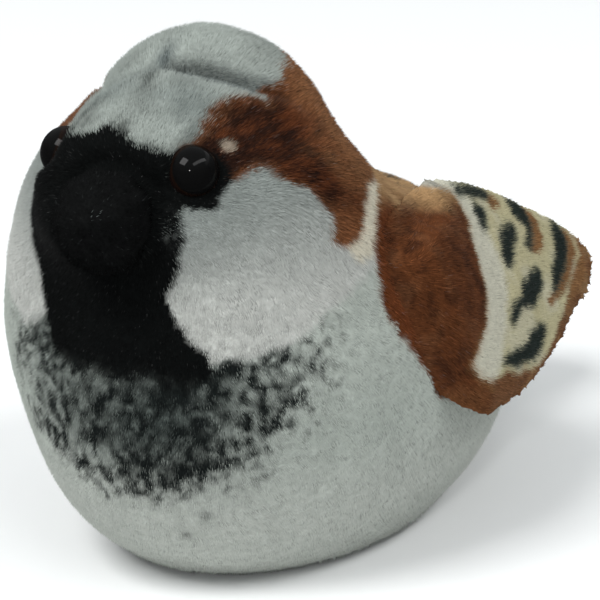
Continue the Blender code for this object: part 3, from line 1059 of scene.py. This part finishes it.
# %% [markdown]
# ## The pile
# Real plush has thousands of fibres to the square centimetre. A mesh can't carry that many, so each tuft
# below stands for a pinch of fibres: a thin needle with three sides, rooted in the cloth and lying over
# with the nap. The needles are scattered evenly over the cloth and take the print's colour where they are
# rooted, darker at the root and a little paler at the tip, as painted shade that deepens into the pile.

# %% Scatter roots over a piece of cloth
CHANCE = np.random.default_rng(7)


def scatter(obj, per_mm2):
    """Even random roots on a cloth: points and facings in millimetres, and their places on its layout."""
    mesh = obj.data
    mesh.calc_loop_triangles()
    count = len(mesh.loop_triangles)
    corners = read(mesh.loop_triangles, "vertices", 3, np.int32)
    loops = read(mesh.loop_triangles, "loops", 3, np.int32)
    p, n = places(mesh)
    layout = read(mesh.uv_layers["OFBake"].data, "uv", 2)
    a, b, c = p[corners[:, 0]], p[corners[:, 1]], p[corners[:, 2]]
    area = lengths(np.cross(b - a, c - a)) / 2
    wanted = int(area.sum() * per_mm2)
    chosen = CHANCE.choice(count, wanted, p=area / area.sum())
    s, t = CHANCE.random(wanted), CHANCE.random(wanted)
    flip = s + t > 1
    s[flip], t[flip] = 1 - s[flip], 1 - t[flip]
    weights = np.stack([1 - s - t, s, t], axis=1)[:, :, None]
    roots = (p[corners[chosen]] * weights).sum(axis=1)
    facing = (n[corners[chosen]] * weights).sum(axis=1)
    facing /= lengths(facing, keepdims=True)
    spots = (layout[loops[chosen]] * weights).sum(axis=1)
    return roots, facing, spots


def keep(rows, *arrays):
    """Only these rows of each array."""
    return [array[rows] for array in arrays]


# %% [markdown]
# Fibres lie over in the direction that the plush was brushed. On a toy bird that is back from the beak, and
# down over the breast. A direction for each root, laid flat on the cloth and stirred a little at random,
# gives the coat its flow.

# %% Which way the nap lies
def along_surface(vectors, facing):
    """The vectors laid flat on the surface, each one long."""
    flat = vectors - (vectors * facing).sum(axis=1, keepdims=True) * facing
    return flat / (lengths(flat, keepdims=True) + 1e-9)


def body_nap(p, facing):
    """Back over the crown, back and down over the cheeks, down the breast, and away from beak and eyes."""
    flow = plain((0.0, 0.45, -1.0), p)
    crown = ease(70, 80, p[:, 2])[:, None]
    flow = flow * (1 - crown) + np.array((0, 1.0, 0.15)) * crown
    from_beak = p - BEAK_CENTRE
    pull = falloff(p, BEAK_CENTRE, 22)[:, None]
    flow += 3.0 * pull * from_beak / (lengths(from_beak, keepdims=True) + 1e-6)
    from_eye = mirrored(p) - EYE_CENTRE
    pull = falloff(mirrored(p), EYE_CENTRE, 6.0)[:, None]
    push = from_eye / (lengths(from_eye, keepdims=True) + 1e-6)
    push[:, 0] *= np.where(p[:, 0] < 0, -1, 1)
    flow += 3.0 * pull * push
    flow += 0.55 * wobbles(p, 9, 111) + 0.35 * wobbles(p, 3, 114)
    return along_surface(flow, facing)


def wing_nap(p, facing, edge, slope):
    """Back along the wing and a little down, and along its lower edge where edge is 1."""
    flow = plain((0.0, 1.0, -0.45), p) + 0.4 * wobbles(p, 7, 121) + 0.3 * wobbles(p, 2.5, 124)
    along_edge = np.column_stack([np.zeros(len(p)), np.ones(len(p)), slope + 0.15])
    return along_surface(flow * (1 - edge)[:, None] + along_edge * edge[:, None], facing)


# %% [markdown]
# Hair curves could make the pile too, but the finished toy has to be plain meshes. The needles of a coat
# are therefore one mesh, worked out for all roots at once. Their shading leans on the cloth's own facing,
# so that the coat looks soft and not like a bed of nails.

# %% Build the tufts of one piece of coat
LAYOUT_PATCH = 0.003  # how much of the cloth's layout one tuft takes
OWN_SHARE = 0.22  # how much of a tuft's shading is its own, the rest being the cloth's


def tuft_tips(roots, facing, nap, lean, length):
    """Where tufts of this lean and length end."""
    along = facing * np.cos(lean)[:, None] + nap * np.sin(lean)[:, None]
    return roots + along * length[:, None]


def tuft_mesh(name, roots, facing, nap, lean, length, width, colours, spots, own_share=None):
    """Thin three-sided needles: each has two corners across the nap, one under them, and a tip."""
    own_share = np.full(len(roots), OWN_SHARE) if own_share is None else own_share
    count = len(roots)
    along = facing * np.cos(lean)[:, None] + nap * np.sin(lean)[:, None]
    side = np.cross(along, facing)
    side /= lengths(side, keepdims=True) + 1e-9
    under = np.cross(side, along)
    half = (width / 2)[:, None]
    base = roots - facing * 0.25
    tips = roots + along * length[:, None]
    corners = np.stack([base + side * half, base - side * half, base + under * half * 0.7, tips], axis=1)
    corners[:, :, 2] = np.maximum(corners[:, :, 2], 0.05)  # none goes into the table
    faces = np.array([[0, 1, 3], [1, 2, 3], [2, 0, 3], [1, 0, 2]])
    first = corners[:, faces[0]]
    outward = np.cross(first[:, 1] - first[:, 0], first[:, 2] - first[:, 0])
    middle = corners.mean(axis=1)
    wrong = (outward * (first.mean(axis=1) - middle)).sum(axis=1) < 0
    order = np.tile(faces, (count, 1, 1))
    order[wrong] = order[wrong][:, :, ::-1]
    order = (order + (np.arange(count) * 4)[:, None, None]).reshape(-1)
    mesh = bpy.data.meshes.new(name)
    mesh.vertices.add(count * 4)
    write(mesh.vertices, "co", corners * MM)
    mesh.loops.add(count * 12)
    write(mesh.loops, "vertex_index", order, np.int32)
    mesh.polygons.add(count * 4)
    write(mesh.polygons, "loop_start", np.arange(0, count * 12, 3), np.int32)
    mesh.update(calc_edges=True)
    store_print(mesh, colours[:, (0, 0, 0, 1)].reshape(-1, 3))
    patch = np.array([(-1, -1), (1, -1), (0, -0.4), (0, 1)]) * LAYOUT_PATCH / 2
    at = (spots[:, None, :] + patch).reshape(-1, 2)
    write(mesh.uv_layers.new(name="OFBake").data, "uv", at[order])
    mesh.shade_smooth()
    own = corners - middle[:, None, :]
    own /= np.linalg.norm(own, axis=2, keepdims=True) + 1e-9
    soft = own_share[:, None, None] * own + facing[:, None, :]
    soft /= np.linalg.norm(soft, axis=2, keepdims=True)
    mesh.normals_split_custom_set_from_vertices(soft.reshape(-1, 3).tolist())
    return mesh


def add_coat(name, material, slot, *tufts):
    """One piece of coat in the scene. Returns its number of triangles."""
    mesh = tuft_mesh(name, *tufts)
    mesh.materials.append(material)
    coat = link(name, mesh)
    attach(coat, "root")
    print(name, len(mesh.polygons), "triangles")
    return len(mesh.polygons)


# %% [markdown]
# Where two pieces of cloth lie against each other the pile is pressed flat and unseen, so no tuft is
# spent there: a short look along the facing finds the cloth that covers a root.

# %% Find covered roots
def uncovered(roots, facing, tree, reach):
    """True for each root that has no other cloth within this many millimetres in front of it."""
    free = np.ones(len(roots), bool)
    starts = roots * MM + facing * 0.0002  # just off the cloth, in metres
    for index, (start, way) in enumerate(zip(starts, facing)):
        free[index] = tree.ray_cast(Vector(start), Vector(way), reach * MM)[0] is None
    return free


over_body = tree_of(wing_left, wing_right, tail, beak, eye_left, eye_right)

# %% [markdown]
# The coat is closest on the face, which is seen most, and shorter on the breast and round the beak. It is
# kept in seven pieces, so that each stays a mesh of reasonable size.

# %% Coat of the body
def dye_with_shade_and_glints(low, high):
    """Dyes for root and tip: darker at the root, as painted shade deep in the pile, and a little paler at
    the tip. No two fibres take the dye alike, and a few are painted lighter as glints.
    """
    dark = ease(0.2, 0.1, low.mean(axis=1))
    # painted shade: each fibre is darker at the root, more so on dark dye, and a little paler at the tip
    both = np.stack([low * (0.95 - 0.08 * dark)[:, None], high * 1.03], axis=1)
    both *= (1 + (0.03 + 0.24 * dark) * CHANCE.standard_normal(len(low)))[:, None, None]
    # painted glints: a few fibres, more of them on dark dye, are printed lighter for fibres that catch the
    # light
    glinting = CHANCE.random(len(low)) < 0.02 + 0.03 * dark
    both[glinting] = both[glinting] * 1.1 + CHANCE.exponential(0.011, (glinting.sum(), 1, 1))
    return np.clip(both, 0.001, 0.9)


def crowding(p):
    """Tufts for each square millimetre: the most on the face, the fewest under the belly."""
    front = ease(-25, -38, p[:, 1])
    wanted = 7.0 + 7.0 * front + 6.0 * ease(54, 62, p[:, 2]) * front
    return wanted * (0.45 + 0.55 * ease(3, 14, p[:, 2]))


MOST_TUFTS = 20.0  # for each square millimetre
roots, facing, spots = scatter(body, MOST_TUFTS)
roots, facing, spots = keep(CHANCE.random(len(roots)) < crowding(roots) / MOST_TUFTS, roots, facing, spots)
on_table = (roots[:, 2] < 1.0) & (facing[:, 2] < -0.6)
roots, facing, spots = keep(uncovered(roots, facing, over_body, 1.5) & ~on_table, roots, facing, spots)
nap = body_nap(roots, facing)
face = np.exp(-((lengths(roots - BEAK_CENTRE) / 22) ** 4))
lean = np.radians(66 + 6 * CHANCE.standard_normal(len(roots)) + 4 * wobble(roots, 5, 131))
lean = np.clip(lean, np.radians(20), np.radians(80))
breast = ease(53, 50, roots[:, 2]) * ease(-28, -34, roots[:, 1])
length = (1.3 - 0.45 * face - 0.4 * breast) * CHANCE.uniform(0.75, 1.15, len(roots))
width = CHANCE.uniform(0.15, 0.26, len(roots))
astray = (0.25 + 0.08 * breast)[:, None] * CHANCE.standard_normal(roots.shape)
tips = tuft_tips(roots, facing, nap, lean, length)
colours = dye_with_shade_and_glints(print_body(roots + astray), print_body(tips + astray))
head = roots[:, 2] > 57
front = roots[:, 1] < -36
left = roots[:, 0] > 0
regions = {
    "coat_face_left": head & front & left, "coat_face_right": head & front & ~left,
    "coat_nape": head & ~front,
    "coat_breast_left": ~head & front & left, "coat_breast_right": ~head & front & ~left,
    "coat_flank_left": ~head & ~front & left, "coat_flank_right": ~head & ~front & ~left,
}
tufts = (roots, facing, nap, lean, length, width, colours, spots)
total = 0
for name, rows in regions.items():
    total += add_coat(name, pile_plush, "grey_plush", *keep(rows, *tufts))


# %% [markdown]
# A wing's pile is shorter. It has to leave the rim clean and must not poke through the thin cloth at the
# seam, so roots that face the body are mostly left out, and tufts that would cross the outline are cut
# short.

# %% Coats of wings and tail
def beside_body(roots, facing):
    """Near the seam a wing's pile takes the body's facing, and what is rolled under the seam has none."""
    facing, pressed = facing.copy(), np.zeros(len(roots), bool)
    for index in range(len(roots)):
        foot, way, *_ = body_tree.find_nearest(Vector(roots[index] * MM), 1.5 * MM)
        if foot is None:
            continue
        foot, way = np.array(foot) / MM, np.array(way)
        height = (roots[index] - foot) @ way
        pressed[index] = facing[index] @ way < 0.1 or height < -0.4
        facing[index] += way * max(0, 1 - height / 1.5) * 3
    return facing / lengths(facing, keepdims=True), pressed


def beyond_body(roots):
    """How many millimetres each root stands off the body's cloth."""
    return np.array([body_tree.find_nearest(Vector(root * MM))[3] for root in roots]) / MM


def feather_coat(name, cloth, per_mm2, printed):
    """The shorter pile of a wing or the tail. Little of it grows on the side that faces the body."""
    roots, facing, spots = scatter(cloth, per_mm2)
    facing, pressed = beside_body(roots, facing)
    roots, facing, spots = keep(~pressed, roots, facing, spots)
    outward, beyond = facing[:, 0] * np.sign(roots[:, 0]), beyond_body(roots)
    inner = ((outward < -0.2) & (facing[:, 2] < 0.6)) | (facing[:, 2] < -0.5)
    outer = ~inner | (CHANCE.random(len(roots)) < 0.45 * (beyond > 3))
    free = uncovered(roots, facing, body_tree, 1.2) & outer
    roots, facing, spots, outward = keep(free, roots, facing, spots, outward)
    made = places(cloth.data)[0]
    rear = made[:, 1].max()
    low, high, slope = outline_of(made, roots)
    behind_rim = (np.minimum(roots[:, 2] - low, high - roots[:, 2]) < 1.6) & (outward < 0.1)
    behind_rim |= (roots[:, 1] > rear - 3) & (outward < 0.15)
    behind_rim &= (facing[:, 2] < 0.6) | (outward < -0.6) | (roots[:, 1] > 25)
    roots, facing, spots, low, slope = keep(~behind_rim | (cloth is tail), roots, facing, spots, low, slope)
    count = len(roots)
    edge = ease(2.8, 0.8, roots[:, 2] - low)
    nap = wing_nap(roots, facing, edge, slope)
    beyond = beyond_body(roots)
    rim = ease(0.75, 0.35, np.abs(facing[:, 0])) * (np.abs(roots[:, 0]) > 18) * ease(1, 3, beyond)
    lean = np.clip(np.radians(62 + 8 * CHANCE.standard_normal(count) + 16 * rim), 0.3, 1.45)
    length = (1.2 - 0.7 * np.maximum(rim, 0.8 * edge)) * CHANCE.uniform(0.75, 1.15, count)
    astray = 0.3 * CHANCE.standard_normal(roots.shape)
    tips = tuft_tips(roots, facing, nap, lean, length)
    low, high, _ = outline_of(made, tips)
    stray = np.max([low - tips[:, 2], tips[:, 2] - high, tips[:, 1] - rear], axis=0) > 0.2
    length = np.where(stray, np.where(beyond < 2.5, 0.15, 0.4), 1) * length
    colours = dye_with_shade_and_glints(printed(roots + astray, facing), printed(tips + astray, facing))
    width = CHANCE.uniform(0.14, 0.25, count)
    tufts = (roots, facing, nap, lean, length, width, colours, spots)
    return add_coat(name, pile_plush, "chestnut_plush", *tufts, OWN_SHARE + 1.2 * rim)


total += feather_coat("coat_wing_left", wing_left, 12, lambda tips, facing: print_wing(tips))
total += feather_coat("coat_wing_right", wing_right, 12, lambda tips, facing: print_wing(tips))
total += feather_coat("coat_tail", tail, 9, lambda tips, facing: print_tail(tips, facing[:, 2]))

# %% [markdown]
# The beak's black pile is shorter still, brushed from the tip towards the face, with a few grey fibres and
# a little of the lint that black plush always picks up.

# %% Coat of the beak
roots, facing, spots = scatter(beak, 20)
free = uncovered(roots, facing, body_tree, 0.6) & ((roots - BEAK_CENTRE) @ BEAK_AXIS > -2.5)
roots, facing, spots = keep(free, roots, facing, spots)
count = len(roots)
nap = along_surface(plain(-BEAK_AXIS, roots) + 0.8 * wobbles(roots, 3, 141), facing)
colours = np.tile(BEAK_PILE, (count, 2, 1)) * CHANCE.uniform(0.5, 1.6, (count, 1, 1))
colours[CHANCE.random(count) < 0.015] = BEAK_GREY
colours[CHANCE.random(count) < 0.12 * falloff(roots, (6.8, -69.4, 70.4), 0.9)] = LINT
lean = np.clip(np.radians(52 + 14 * CHANCE.standard_normal(count)), 0.2, 1.35)
length = 0.7 * CHANCE.uniform(0.7, 1.2, count)
width = CHANCE.uniform(0.1, 0.16, count)
tufts = (roots, facing, nap, lean, length, width, colours, spots)
total += add_coat("coat_beak", black_pile, "black_plush", *tufts)
print("coat:", total, "triangles")
